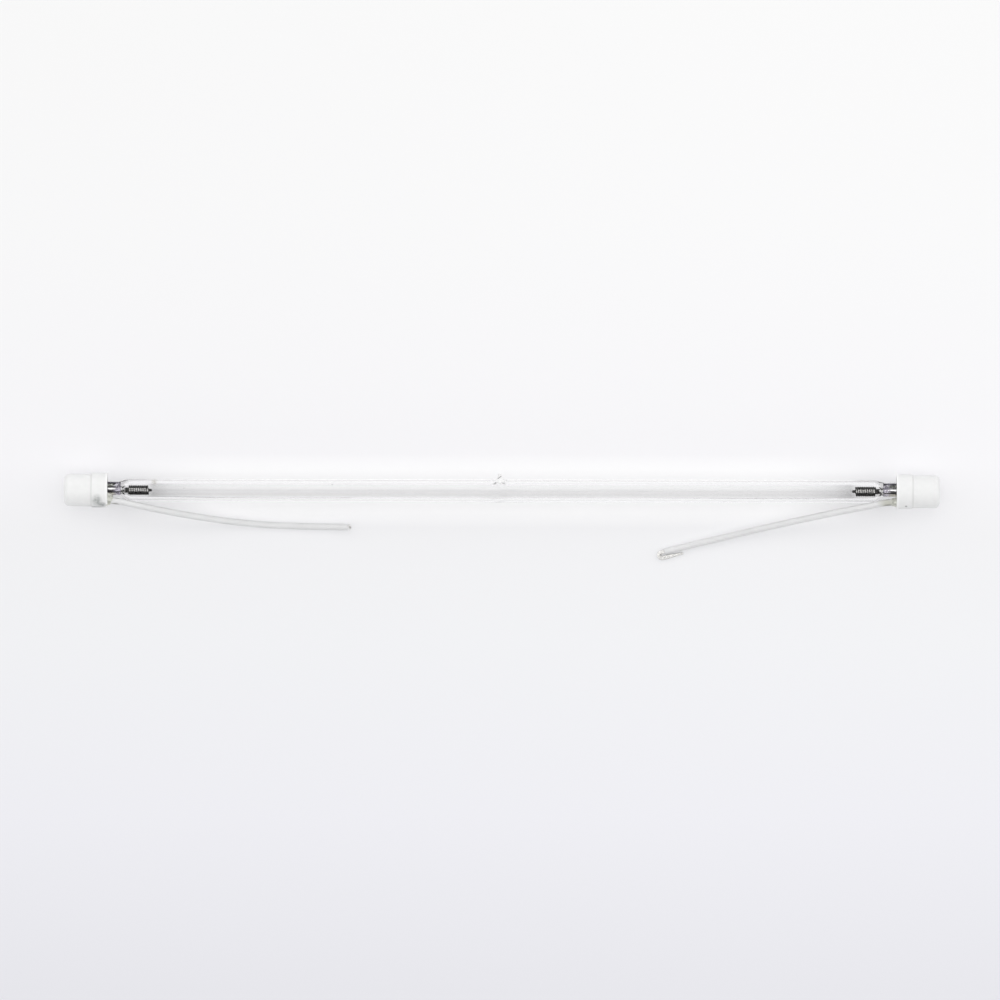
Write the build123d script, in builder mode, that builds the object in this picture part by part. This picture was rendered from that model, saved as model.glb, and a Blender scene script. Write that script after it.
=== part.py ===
from build123d import *
import os
from math import cos, pi, radians, sin, tan

# A linear xenon flash lamp: a sealed quartz tube with a wound electrode at each end, a foil
# seal in each stem, and a cemented ceramic cap out of whose mouth an insulated lead comes back.
# The lamp lies along X on its two collars. Z = 0 is the table, and X = 0 is the lamp's middle.
# Sizes are in millimetres and angles in degrees. Lengths run outward from the arc to the caps.

# Electrodes
arc_length = 322.3  # between the two electrode tips
rod_diameter = 2.5
rod_tip_diameter = 1.4
rod_taper_length = 1.3
coil_setback = 1.2  # from the rod's tip back to the first turn
coil_turns = 9
coil_wire_diameter = 0.93
coil_turn_gap = 0.04
coil_clearance = 0.02
shank_length = 2.5  # bare rod between the coil and the end of the bore

# Quartz tube
tube_diameter = 10.5
bore_diameter = 6.4
bore_taper = 1.6  # length over which the bore closes on the rod
stem_diameter = 8.2
shoulder_length = 3.5
shoulder_setback = 2.5  # from the end of the bore back to the start of the shoulder
stem_bare_length = 7.0  # stem between the end of the bore and the cap
stem_grip = 7.5  # stem inside the cap

# Exhaust pip
pip_offset = -1.0  # from the lamp's middle
pip_tilt = 15.0  # from +Y towards +Z
pip_height = 2.4
pip_base_diameter = 3.0
pip_tip_diameter = 0.9
pip_root_fillet = 0.7

# Foil seal
foil_width = 4.6
foil_thickness = 0.1
foil_inner_margin = 0.8  # quartz between the bore and the foil
foil_outer_margin = 2.0  # quartz between the foil and the end of the stem
weld_length = 2.6  # foil lying on the rod, and on the pin
pin_diameter = 1.2

# Leads
lead_diameter = 3.0
lead_sides = 12  # of the tube that stands for the insulation
conductor_diameter = 1.5
lead_grip = 5.5  # insulation inside the cap
lead_angle = 35.0  # the lead's place beside the stem, from -Y towards +Z
lead_gap = 0.05  # between stem and lead
tip_length = 2.4  # bare conductor at the free end
first_run = 3.8  # from the cap's mouth to the lead's first bend
arc_share = 0.45  # of the shorter run beside a bend, taken up by its arc

# Crimp
crimp_gap = 5.2  # from the end of the stem to the crimp
crimp_length = 4.0
crimp_wall = 0.4
crimp_wire_gap = 0.05  # between pin and conductor
crimp_cover = 0.8  # from the crimp to the cap's end wall
tail_clearance = 0.1  # between the conductor and the cap's wall
stem_bend_gap = 0.5  # from the end of the stem to the conductor's first bend
crimp_bend_gap = 1.0  # from the conductor's second bend to the crimp

# Ceramic caps
collar_length = 7.4
collar_step = 0.5  # collar over body, on the radius
collar_edge = 0.3
cap_wall = 1.0
cap_end_wall = 2.5
cap_end_round = 2.5
end_round_bevels = 3  # the rounded end is this many bevels
cement_recess = 0.8  # cement below the cap's mouth
groove_clearance = 0.2

# Free points of each lead: distance from the cap's mouth towards the lamp's middle, Y, Z
left_lead_points = [
    (13.0, -6.9, 12.0),
    (32.0, -10.3, 8.8),
    (70.0, -15.9, 1.06),
    (107.0, -16.4, 2.2),
]
right_lead_points = [
    (13.0, -6.8, 12.0),
    (32.0, -10.4, 9.2),
    (70.0, -18.9, 3.0),
    (108.0, -28.6, 1.55),
]

# Radii
rod_radius = rod_diameter / 2
wire_radius = coil_wire_diameter / 2
tube_radius = tube_diameter / 2
bore_radius = bore_diameter / 2
stem_radius = stem_diameter / 2
pin_radius = pin_diameter / 2
lead_radius = lead_diameter / 2
conductor_radius = conductor_diameter / 2
lead_offset = stem_radius + lead_gap + lead_radius
groove_radius = lead_radius + groove_clearance
cavity_radius = lead_offset + conductor_radius + tail_clearance
body_radius = cavity_radius + cap_wall
collar_radius = body_radius + collar_step

# Stations along the lamp, from its middle outward
arc_end = arc_length / 2
coil_start = arc_end + coil_setback
coil_pitch = coil_wire_diameter + coil_turn_gap
coil_end = coil_start + coil_turns * coil_pitch + coil_wire_diameter
bore_end = coil_end + shank_length
shoulder_start = bore_end - shoulder_setback
cap_mouth = bore_end + stem_bare_length
stem_end = cap_mouth + stem_grip
foil_start = bore_end + foil_inner_margin
rod_end = foil_start + weld_length
foil_end = stem_end - foil_outer_margin
pin_start = foil_end - weld_length
lead_start = cap_mouth + lead_grip
crimp_start = stem_end + crimp_gap
crimp_end = crimp_start + crimp_length
cavity_end = crimp_end + crimp_cover
cap_end = cavity_end + cap_end_wall
collar_end = cap_mouth + collar_length

# The lamp's axis, the plane through it whose local Y is the radius, and the foils' plane
axis_height = collar_radius
lamp_axis = Axis((0, 0, axis_height), (1, 0, 0))
radial_plane = Plane(origin=(0, 0, axis_height), x_dir=(1, 0, 0), z_dir=(0, -1, 0))
foil_plane = Plane.XY.offset(axis_height)
towards_lead = Vector(0, -cos(radians(lead_angle)), sin(radians(lead_angle)))


def beside_axis(station, offset):
    """A point of the right end, off the lamp's axis towards the lead."""
    return Vector(station, 0, axis_height) + towards_lead * offset


# Electrode rod, with a flat along the axis where the foil is welded on
with BuildPart() as right_electrode_rod:
    with BuildSketch(radial_plane):
        with BuildLine():
            Polyline(
                (arc_end, 0),
                (arc_end, rod_tip_diameter / 2),
                (arc_end + rod_taper_length, rod_radius),
                (rod_end, rod_radius),
                (rod_end, 0),
                close=True,
            )
        make_face()
    revolve(axis=lamp_axis)
    with BuildSketch(foil_plane):
        with Locations(((foil_start + rod_end) / 2, 0)):
            Rectangle(weld_length, rod_diameter)
    extrude(amount=rod_radius, mode=Mode.SUBTRACT)

# Electrode coil: turns of twelve chords each, in wire with a six-sided section
chords = 12
helix_radius = (rod_radius + coil_clearance + wire_radius) / cos(pi / chords)
turn_points = [
    (
        coil_start + wire_radius + coil_pitch * chord / chords,
        helix_radius * cos(2 * pi * chord / chords),
        axis_height + helix_radius * sin(2 * pi * chord / chords),
    )
    for chord in range(coil_turns * chords + 1)
]
with BuildPart() as right_electrode_coil:
    with BuildLine() as turns:
        Polyline(*turn_points)
    with BuildSketch(Plane(turns.line @ 0, x_dir=(0, 1, 0), z_dir=turns.line % 0)):
        RegularPolygon(wire_radius, 6)
    sweep(path=turns.line, transition=Transition.RIGHT)

# Seal foil, lying on the rod's flat and on the pin's
with BuildPart() as right_seal_foil:
    with BuildSketch(foil_plane):
        with Locations(((foil_start + foil_end) / 2, 0)):
            Rectangle(foil_end - foil_start, foil_width)
    extrude(amount=foil_thickness)

# Pin from the foil through the end of the stem to the crimp
with BuildPart() as right_lead_pin:
    with BuildSketch(Plane.YZ.offset(pin_start)):
        with Locations((0, axis_height)):
            Circle(pin_radius)
    extrude(amount=crimp_end - pin_start)
    with BuildSketch(foil_plane):
        with Locations(((pin_start + foil_end) / 2, 0)):
            Rectangle(weld_length, pin_diameter)
    extrude(amount=pin_radius, mode=Mode.SUBTRACT)

# Conductor's tail in the cap: a bundle of strands, six-sided, bent over from lead to crimp
conductor_offset = pin_radius + crimp_wire_gap + conductor_radius
with BuildPart() as right_lead_tail:
    with BuildLine() as tail_line:
        Polyline(
            beside_axis(lead_start, lead_offset),
            beside_axis(stem_end + stem_bend_gap, lead_offset),
            beside_axis(crimp_start - crimp_bend_gap, conductor_offset),
            beside_axis(crimp_end, conductor_offset),
        )
    with BuildSketch(Plane(tail_line.line @ 0, x_dir=towards_lead, z_dir=(1, 0, 0))):
        RegularPolygon(conductor_radius, 6)
    sweep(path=tail_line.line, transition=Transition.RIGHT)

# Crimp sleeve, pressed to the outline of pin and conductor side by side
with BuildPart() as right_crimp_sleeve:
    with BuildSketch(Plane(beside_axis(crimp_start, 0), x_dir=towards_lead, z_dir=(1, 0, 0))):
        Circle(pin_radius + crimp_wall)
        with Locations((conductor_offset, 0)):
            Circle(conductor_radius + crimp_wall)
        make_hull()
        Circle(pin_radius, mode=Mode.SUBTRACT)
        with Locations((conductor_offset, 0)):
            RegularPolygon(conductor_radius, 6, mode=Mode.SUBTRACT)
    extrude(amount=crimp_length)

# Ceramic cap: a cup with a collar at its mouth, a bevelled round at its closed end, and a groove
# for the lead in its wall
lead_centre = beside_axis(cap_mouth, lead_offset)
end_round_turns = [radians(90 * bevel / end_round_bevels) for bevel in range(end_round_bevels + 1)]
end_round_points = [
    (cap_end - cap_end_round * (1 - sin(turn)), body_radius - cap_end_round * (1 - cos(turn)))
    for turn in end_round_turns
]
with BuildPart() as right_ceramic_cap:
    with BuildSketch(radial_plane):
        with BuildLine():
            Polyline(
                (cap_mouth, cavity_radius),
                (cap_mouth, collar_radius),
                (collar_end, collar_radius),
                (collar_end, body_radius),
                *end_round_points,
                (cap_end, 0),
                (cavity_end, 0),
                (cavity_end, cavity_radius),
                close=True,
            )
        make_face()
    revolve(axis=lamp_axis)
    rims = right_ceramic_cap.edges().filter_by(GeomType.CIRCLE)
    chamfer(rims.filter_by(lambda rim: rim.radius > body_radius + collar_step / 2), collar_edge)
    with BuildSketch(Plane.YZ.offset(cap_mouth)):
        with Locations((lead_centre.Y, lead_centre.Z)):
            Circle(groove_radius)
    extrude(amount=lead_grip + groove_clearance, mode=Mode.SUBTRACT)

# Cement, cast into the cap's mouth round the stem and the lead
with BuildPart() as right_cap_cement:
    with BuildSketch(Plane.YZ.offset(cap_mouth + cement_recess)):
        with Locations((0, axis_height)):
            Circle(cavity_radius)
            Circle(stem_radius, mode=Mode.SUBTRACT)
        with Locations((lead_centre.Y, lead_centre.Z)):
            Circle(lead_radius, mode=Mode.SUBTRACT)
    extrude(amount=lead_grip - cement_recess)

# The left end mirrors the right one, but its coil is the same part turned round
pieces = {}
for name, piece in (
    ("electrode_rod", right_electrode_rod),
    ("seal_foil", right_seal_foil),
    ("lead_pin", right_lead_pin),
    ("lead_tail", right_lead_tail),
    ("crimp_sleeve", right_crimp_sleeve),
    ("ceramic_cap", right_ceramic_cap),
    ("cap_cement", right_cap_cement),
):
    pieces[f"right_{name}"] = piece
    with BuildPart() as mirrored:
        mirror(piece.part, about=Plane.YZ)
    pieces[f"left_{name}"] = mirrored
with BuildPart() as left_electrode_coil:
    add(right_electrode_coil.part, rotation=(0, 0, 180))
pieces["right_electrode_coil"] = right_electrode_coil
pieces["left_electrode_coil"] = left_electrode_coil


def lead_route(free_points, sign):
    """Route of a lead's insulation, from inside its cap to its free end."""
    inner_end = beside_axis(lead_start, lead_offset)
    first_bend = beside_axis(cap_mouth - first_run, lead_offset)
    fixed = [Vector(sign * point.X, point.Y, point.Z) for point in (inner_end, first_bend)]
    return fixed + [Vector(sign * (cap_mouth - away), y, z) for away, y, z in free_points]


def bend_radii(route):
    """One radius for each bend, as large as the runs beside it allow."""
    runs = [end - start for start, end in zip(route, route[1:])]
    return [
        arc_share * min(run.length, after.length) / tan(radians(run.get_angle(after)) / 2)
        for run, after in zip(runs, runs[1:])
    ]


# Leads: a plain tube for the insulated stretch, and the bare tip of the conductor
for side, sign, free_points in (("left", -1, left_lead_points), ("right", 1, right_lead_points)):
    route = lead_route(free_points, sign)
    radii = bend_radii(route)
    print(side, "lead bend radii", [round(radius, 1) for radius in radii])
    with BuildPart() as lead:
        with BuildLine() as lead_line:
            FilletPolyline(*route, radius=radii)
        with BuildSketch(Plane(lead_line.line @ 0, z_dir=lead_line.line % 0)):
            RegularPolygon(lead_radius, lead_sides)
        sweep(path=lead_line.line)
    pieces[f"{side}_lead"] = lead
    with BuildPart() as lead_tip:
        with BuildSketch(Plane(lead_line.line @ 1, z_dir=lead_line.line % 1)):
            Circle(conductor_radius)
        extrude(amount=tip_length)
    pieces[f"{side}_lead_tip"] = lead_tip

# Quartz tube: a smooth shoulder at each end, the exhaust pip, and room for the sealed-in metal
stem_start = shoulder_start + shoulder_length
shoulder_middle = ((shoulder_start + stem_start) / 2, (tube_radius + stem_radius) / 2)
pip_direction = Vector(0, cos(radians(pip_tilt)), sin(radians(pip_tilt)))
pip_plane = Plane(
    (pip_offset, 0, axis_height), x_dir=(1, 0, 0), z_dir=Vector(1, 0, 0).cross(pip_direction)
)
pip_root = (tube_radius + bore_radius) / 2
pip_slope = (pip_base_diameter - pip_tip_diameter) / 2 / pip_height
pip_root_radius = pip_base_diameter / 2 + pip_slope * (tube_radius - pip_root)
with BuildPart() as quartz_tube:
    with BuildSketch(radial_plane):
        with BuildLine():
            Polyline((0, 0), (0, tube_radius), (shoulder_start, tube_radius))
            shoulder = TangentArc((shoulder_start, tube_radius), shoulder_middle, tangent=(1, 0))
            TangentArc(shoulder @ 1, (stem_start, stem_radius), tangent=shoulder % 1)
            Polyline((stem_start, stem_radius), (stem_end, stem_radius), (stem_end, 0), (0, 0))
        make_face()
        mirror(about=Plane.YZ)
    revolve(axis=lamp_axis)
    with BuildSketch(pip_plane):
        with BuildLine():
            Polyline(
                (0, pip_root),
                (pip_root_radius, pip_root),
                (pip_tip_diameter / 2, tube_radius + pip_height),
                (0, tube_radius + pip_height),
                close=True,
            )
        make_face()
    revolve(axis=Axis(pip_plane.origin, pip_direction))
    fillet(quartz_tube.edges(Select.NEW), pip_root_fillet)
    with BuildSketch(radial_plane):
        with BuildLine():
            Polyline(
                (0, 0),
                (0, bore_radius),
                (bore_end - bore_taper, bore_radius),
                (bore_end, rod_radius),
                (bore_end, 0),
                close=True,
            )
        make_face()
        mirror(about=Plane.YZ)
    revolve(axis=lamp_axis, mode=Mode.SUBTRACT)
    for side in ("left", "right"):
        for name in ("electrode_rod", "seal_foil", "lead_pin"):
            add(pieces[f"{side}_{name}"].part, mode=Mode.SUBTRACT)
pieces["quartz_tube"] = quartz_tube

os.makedirs("parts", exist_ok=True)
for name, piece in pieces.items():
    piece.part.label = name
    export_step(piece.part, f"parts/{name}.step")
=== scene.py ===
"""Looks of a linear xenon strobe lamp that lies on a pale table. Lengths are in metres."""

import math
import random

import bmesh
import bpy
from mathutils import Matrix, Vector, noise

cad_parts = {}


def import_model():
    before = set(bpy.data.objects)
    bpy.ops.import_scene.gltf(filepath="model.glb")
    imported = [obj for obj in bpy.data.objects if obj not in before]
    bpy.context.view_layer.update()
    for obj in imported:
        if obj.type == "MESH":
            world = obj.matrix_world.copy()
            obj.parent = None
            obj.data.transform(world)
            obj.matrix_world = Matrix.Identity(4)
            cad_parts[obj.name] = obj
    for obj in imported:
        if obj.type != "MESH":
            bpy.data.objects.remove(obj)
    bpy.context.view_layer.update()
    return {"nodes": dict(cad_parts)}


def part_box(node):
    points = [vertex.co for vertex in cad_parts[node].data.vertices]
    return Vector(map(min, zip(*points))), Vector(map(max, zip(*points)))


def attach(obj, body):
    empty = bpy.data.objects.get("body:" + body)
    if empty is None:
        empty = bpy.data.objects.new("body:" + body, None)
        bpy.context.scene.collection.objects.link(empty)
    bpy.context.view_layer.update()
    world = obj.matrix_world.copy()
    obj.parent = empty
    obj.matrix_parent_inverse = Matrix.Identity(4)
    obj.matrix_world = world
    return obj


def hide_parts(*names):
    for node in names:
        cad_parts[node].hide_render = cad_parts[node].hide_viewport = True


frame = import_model()
draws = random.Random(7)

MM = 0.001

# Sizes read from the frame. The right end is measured, and the left end mirrors it.
cap_low, cap_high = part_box("right_ceramic_cap")
tube_low, tube_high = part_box("quartz_tube")
rod_low, rod_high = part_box("right_electrode_rod")
coil_low, coil_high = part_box("right_electrode_coil")
foil_low, foil_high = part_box("right_seal_foil")
cement_low, cement_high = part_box("right_cap_cement")
axis_height = (cap_low.z + cap_high.z) / 2
cap_mouth, cap_end = cap_low.x, cap_high.x
collar_radius = (cap_high.z - cap_low.z) / 2
cavity_radius = (cement_high.y - cement_low.y) / 2
tube_radius = (tube_high.z - tube_low.z) / 2
stem_end = tube_high.x
arc_end, rod_end = rod_low.x, rod_high.x
rod_radius = (rod_high.y - rod_low.y) / 2
coil_start, coil_end = coil_low.x, coil_high.x
foil_start, foil_end = foil_low.x, foil_high.x
foil_width = foil_high.y - foil_low.y
cement_face, cement_back = cement_low.x, cement_high.x

# Sizes that the boxes don't give
bore_radius = 3.2 * MM
bore_end = foil_start - 0.8 * MM
bore_dome = 3.6 * MM  # length over which the bore closes on the rod
stem_radius = 4.1 * MM
shoulder_start = bore_end - 3.8 * MM
shoulder_length = 5.6 * MM
body_radius = 7.5 * MM
collar_length = 7.4 * MM
end_round = 2.5 * MM
cavity_end = cap_end - 2.5 * MM
groove_radius = 1.7 * MM
lead_offset = 5.65 * MM  # of the lead from the lamp's axis
lead_angle = math.radians(145)  # the lead's place round the axis, from +Y towards +Z
lead_radius = 1.5 * MM
pip_place = -1.0 * MM
pip_angle = math.radians(15)
pip_height = 2.8 * MM
pip_width = 1.15 * MM  # from the pip's middle to its flank
pip_area = 4 * MM  # round the pip, where the glass has a material of its own
pip_fine = 3.8 * MM  # along the tube from the pip, where the mesh is finer
wire_radius = 0.50 * MM
coil_turns = 9
coil_lap = 0.5 * MM  # by which the last turn's end is drawn along the rod


# Meshes


def about_axis(station, radius, turn):
    """A point at a station along the lamp, off its axis, with the turn from +Y towards +Z."""
    return Vector((station, radius * math.cos(turn), axis_height + radius * math.sin(turn)))


def turns_of(count):
    return [2 * math.pi * step / count for step in range(count)]


def smooth_step(value, low, high):
    """Share from 0 to 1, with level ends, of the way from low to high."""
    share = min(max((value - low) / (high - low), 0.0), 1.0)
    return share * share * (3 - 2 * share)


def spread(low, high, count):
    """Evenly spaced values from low to high."""
    return [low + (high - low) * step / (count - 1) for step in range(count)]


def arc(centre, radius, start, stop, count):
    """Points of an arc in a profile's plane, with angles in degrees from the station's axis."""
    angles = [math.radians(angle) for angle in spread(start, stop, count)]
    return [
        (centre[0] + radius * math.cos(angle), centre[1] + radius * math.sin(angle))
        for angle in angles
    ]


def skin(rings, inward=False):
    """A closed mesh through rings of equally many points, with a fan over each end."""
    shell = bmesh.new()
    rows = [[shell.verts.new(point) for point in ring] for ring in rings]
    for row, after in zip(rows, rows[1:]):
        for here in range(len(row)):
            there = (here + 1) % len(row)
            shell.faces.new((row[here], row[there], after[there], after[here]))
    for row in (rows[0], rows[-1]):
        middle = sum((vertex.co for vertex in row), Vector()) / len(row)
        pole = shell.verts.new(middle)
        for here in range(len(row)):
            shell.faces.new((row[here], row[(here + 1) % len(row)], pole))
    bmesh.ops.recalc_face_normals(shell, faces=shell.faces)
    if inward:
        bmesh.ops.reverse_faces(shell, faces=shell.faces)
    return shell


def joined(shells):
    """One mesh with all the faces of several."""
    whole = bmesh.new()
    for shell in shells:
        part = bpy.data.meshes.new("part")
        shell.to_mesh(part)
        shell.free()
        whole.from_mesh(part)
        bpy.data.meshes.remove(part)
    return whole


def linked(name, data):
    """A new object in the scene."""
    thing = bpy.data.objects.new(name, data)
    bpy.context.scene.collection.objects.link(thing)
    return thing


def piece(name, shell, material, slot, *nodes):
    """An object made of a mesh, which rides on the lamp and stands for some CAD nodes."""
    mesh = bpy.data.meshes.new(name)
    shell.to_mesh(mesh)
    shell.free()
    for face in mesh.polygons:
        face.use_smooth = True
    mesh.materials.append(material)
    thing = linked(name, mesh)
    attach(thing, "root")
    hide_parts(*nodes)
    return thing


def mirrored(shell):
    """The same mesh at the lamp's left end."""
    bmesh.ops.transform(shell, matrix=Matrix.Scale(-1, 4, (1, 0, 0)), verts=shell.verts)
    bmesh.ops.reverse_faces(shell, faces=shell.faces)
    return shell


def wire_rings(line, radii, sides):
    """Rings square to a line of points, for a wire of changing radius."""
    rings = []
    side = None
    for place, point in enumerate(line):
        ahead = line[min(place + 1, len(line) - 1)] - line[max(place - 1, 0)]
        ahead.normalize()
        if side is None:
            side = ahead.orthogonal().normalized()
        side = (side - ahead * side.dot(ahead)).normalized()
        across = ahead.cross(side)
        rings.append(
            [
                point + (side * math.cos(turn) + across * math.sin(turn)) * radii[place]
                for turn in turns_of(sides)
            ]
        )
    return rings


# Materials

# Share of the table's look that takes no shadow: away from the tube, and in the light it throws
floor_glow = (0.5, 0.7)
# Where the light that the tube throws, painted into the table's colour, fades, across and along the
# lamp, in millimetres
throw_across = (10.0, 17.0)
throw_along = (130.0, 175.0)
# The table's colour by its distance from the lamp's axis towards the far side, in millimetres:
# painted shade, darker towards the near side
floor_shade_tints = [
    (-230, (0.80, 0.80, 0.84)),
    (-150, (0.86, 0.86, 0.90)),
    (-70, (0.885, 0.89, 0.91)),
    (-20, (0.89, 0.89, 0.905)),
    (12, (0.93, 0.925, 0.945)),
    (120, (0.945, 0.945, 0.95)),
    (230, (0.95, 0.95, 0.95)),
]
floor_reach = floor_shade_tints[-1][0]


def shader(name):
    """A new material, its node tree and its Principled shader."""
    material = bpy.data.materials.new(name)
    material.use_nodes = True
    tree = material.node_tree
    return material, tree, tree.nodes["Principled BSDF"]


def add(tree, kind, **values):
    """A new node, with its settings and the values of its inputs."""
    node = tree.nodes.new(kind)
    for key, value in values.items():
        if key in node.inputs:
            node.inputs[key].default_value = value
        else:
            setattr(node, key, value)
    return node


def place_of(tree, scale=(1, 1, 1)):
    """Coordinates in the lamp's frame, in millimetres, stretched by a scale."""
    coordinates = add(tree, "ShaderNodeTexCoord")
    mapping = add(tree, "ShaderNodeMapping")
    mapping.inputs["Scale"].default_value = [share / MM for share in scale]
    tree.links.new(coordinates.outputs["Object"], mapping.inputs["Vector"])
    return mapping.outputs["Vector"]


def noise_at(tree, place, size, detail=3.0, roughness=0.55):
    """Noise with features of a size in millimetres."""
    texture = add(tree, "ShaderNodeTexNoise", Scale=1 / size, Detail=detail, Roughness=roughness)
    tree.links.new(place, texture.inputs["Vector"])
    return texture.outputs["Fac"]


def ramp(tree, value, stops):
    """Colours by a value, from (place, colour) stops."""
    node = add(tree, "ShaderNodeValToRGB")
    elements = node.color_ramp.elements
    while len(elements) < len(stops):
        elements.new(0.5)
    for element, (place, colour) in zip(elements, stops):
        element.position = place
        element.color = (*colour, 1.0)
    tree.links.new(value, node.inputs["Fac"])
    return node.outputs["Color"]


def level(tree, value, low, high, start, stop):
    """A value mapped from one range to another, and held at its ends."""
    node = add(tree, "ShaderNodeMapRange")
    for key, number in zip(("From Min", "From Max", "To Min", "To Max"), (low, high, start, stop)):
        node.inputs[key].default_value = number
    tree.links.new(value, node.inputs["Value"])
    return node.outputs["Result"]


def bump(tree, principled, height, strength, depth):
    """Bump on a shader, from a height, with its depth in metres."""
    node = add(tree, "ShaderNodeBump", Strength=strength, Distance=depth)
    tree.links.new(height, node.inputs["Height"])
    tree.links.new(node.outputs["Normal"], principled.inputs["Normal"])


def feed(tree, value, socket):
    """Gives a socket a constant or an output."""
    if isinstance(value, bpy.types.NodeSocket):
        tree.links.new(value, socket)
    else:
        socket.default_value = value


def mixed(tree, share, first, second, blend="MIX"):
    """Two colours mixed by a share. Either may be a colour or an output."""
    node = add(tree, "ShaderNodeMix", data_type="RGBA", blend_type=blend)
    for key, value in (("Factor", share), ("A", first), ("B", second)):
        feed(tree, value, [s for s in node.inputs if s.name == key and s.enabled][0])
    return [s for s in node.outputs if s.enabled][0]


def spot(tree, centre, radii, edge=0.5):
    """A share of 1 in an ellipsoid that fades to 0 at its surface, with sizes in millimetres."""
    coordinates = add(tree, "ShaderNodeTexCoord")
    away = add(tree, "ShaderNodeVectorMath", operation="SUBTRACT")
    tree.links.new(coordinates.outputs["Object"], away.inputs[0])
    away.inputs[1].default_value = [place * MM for place in centre]
    shrunk = add(tree, "ShaderNodeVectorMath", operation="DIVIDE")
    tree.links.new(away.outputs["Vector"], shrunk.inputs[0])
    shrunk.inputs[1].default_value = [radius * MM for radius in radii]
    far = add(tree, "ShaderNodeVectorMath", operation="LENGTH")
    tree.links.new(shrunk.outputs["Vector"], far.inputs[0])
    return level(tree, far.outputs["Value"], edge, 1.0, 1.0, 0.0)


def times(tree, first, second):
    """The product of two shares."""
    node = add(tree, "ShaderNodeMath", operation="MULTIPLY")
    for socket, value in zip(node.inputs, (first, second)):
        feed(tree, value, socket)
    return node.outputs["Value"]


def apart_of(tree, place):
    """The three coordinates of a place."""
    apart = add(tree, "ShaderNodeSeparateXYZ")
    tree.links.new(place, apart.inputs["Vector"])
    return apart.outputs["X"], apart.outputs["Y"], apart.outputs["Z"]


def distance_from(tree, value, place):
    """How far a coordinate lies from a place, either way."""
    away = add(tree, "ShaderNodeMath", operation="SUBTRACT")
    tree.links.new(value, away.inputs[0])
    away.inputs[1].default_value = place
    size = add(tree, "ShaderNodeMath", operation="ABSOLUTE")
    tree.links.new(away.outputs["Value"], size.inputs[0])
    return size.outputs["Value"]


quartz_index = 1.458
quartz_shine = (0.4, 0.4, 0.4, 1.0)  # tint of the glass's reflections
# Distances from the lamp's middle between which the glass changes colour, in millimetres
tint_span = (100.0, 190.0)
# Colours of the glass and of the bore by the share of that way
glass_tints = [(0.0, (1, 1, 1)), (1.0, (0.99, 0.99, 0.99))]
bore_tints = [
    (0.0, (0.98, 0.98, 0.98)),
    (0.45, (0.965, 0.965, 0.965)),
    (0.587, (0.91, 0.91, 0.91)),
    (0.672, (0.76, 0.76, 0.76)),
    (0.695, (0.90, 0.90, 0.90)),
    (0.72, (1, 1, 1)),
]
# Painted shade: the bore is coloured darker over its near side.
bore_near_shade = (0.90, 0.90, 0.90)  # over the bore's near side
# Stains on the glass: centre and radii in millimetres, and colour
glass_stains = [
    ((-160.0, 3.9, 11.2), (1.9, 2.4, 4.0), (0.42, 0.40, 0.32)),
    ((1.7, 4.95, 9.6), (1.3, 0.4, 2.0), (0.45, 0.45, 0.45)),
    ((-78.1, 2.7, 12.5), (0.5, 0.5, 0.6), (0.30, 0.30, 0.30)),
    ((-146.4, 1.0, 13.2), (0.5, 0.4, 0.5), (0.35, 0.35, 0.35)),
]
# Cloudy glass of the pip: centre and radii in millimetres
pip_cloud = ((-1.0, 5.9, 9.8), (3.5, 3.6, 3.4))
# Bubbles in the pip: places along and across the lamp, and radii, in millimetres
pip_bubbles = [(-1.7, 5.75), (-1.15, 6.15), (-0.6, 6.55)]
bubble_height = 10.6
bubble_radii = (0.5, 0.4, 2.0)


def quartz_material(name, colour_stops, stains=(), near_shade=None):
    """Clear quartz, with faint lines from drawing, darker where metal settled on the bore, and when
    asked with painted shade over the bore's near side.
    """
    material, tree, principled = shader(name)
    principled.inputs["Transmission Weight"].default_value = 1.0
    principled.inputs["IOR"].default_value = quartz_index
    principled.inputs["Roughness"].default_value = 0.0
    place = place_of(tree)
    along, across, _ = apart_of(tree, place)
    share = level(tree, distance_from(tree, along, 0.0), *tint_span, 0.0, 1.0)
    principled.inputs["Specular Tint"].default_value = quartz_shine
    colour = ramp(tree, share, colour_stops)
    if near_shade:
        # painted shade over the bore's near side
        near_side = level(tree, across, 0.0, 1.1, 1.0, 0.0)
        colour = mixed(tree, near_side, colour, (*near_shade, 1.0), "MULTIPLY")
    for centre, radii, tint in stains:
        patchy = level(tree, noise_at(tree, place, 0.5, 3.0), 0.35, 0.6, 0.35, 1.0)
        stained = times(tree, spot(tree, centre, radii, 0.2), patchy)
        colour = mixed(tree, stained, colour, (*tint, 1.0))
    tree.links.new(colour, principled.inputs["Base Color"])
    lines = noise_at(tree, place_of(tree, (0.02, 1.0, 1.0)), 0.9, 2.0)
    bump(tree, principled, lines, 0.05, 0.02 * MM)
    return material


def pip_material():
    """Quartz that the flame left cloudy, on the pip."""
    material, tree, principled = shader("quartz_pip")
    principled.inputs["IOR"].default_value = quartz_index
    principled.inputs["Specular Tint"].default_value = quartz_shine
    cloudy = spot(tree, *pip_cloud, 0.7)
    clear = level(tree, cloudy, 0.0, 1.0, 1.0, 0.1)
    tree.links.new(clear, principled.inputs["Transmission Weight"])
    cloud = noise_at(tree, place_of(tree), 0.9, 3.0)
    white = ramp(tree, cloud, [(0.35, (0.92, 0.92, 0.92)), (0.55, (0.99, 0.99, 0.99))])
    for along, across in pip_bubbles:
        bubble = spot(tree, (along, across, bubble_height), bubble_radii, 0.2)
        white = mixed(tree, bubble, white, (0.28, 0.28, 0.28, 1.0))
    tree.links.new(white, principled.inputs["Base Color"])
    frosting = level(tree, cloud, 0.3, 0.7, 0.3, 0.6)
    tree.links.new(times(tree, cloudy, frosting), principled.inputs["Roughness"])
    bump(tree, principled, cloud, 0.2, 0.05 * MM)
    return material


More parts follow.
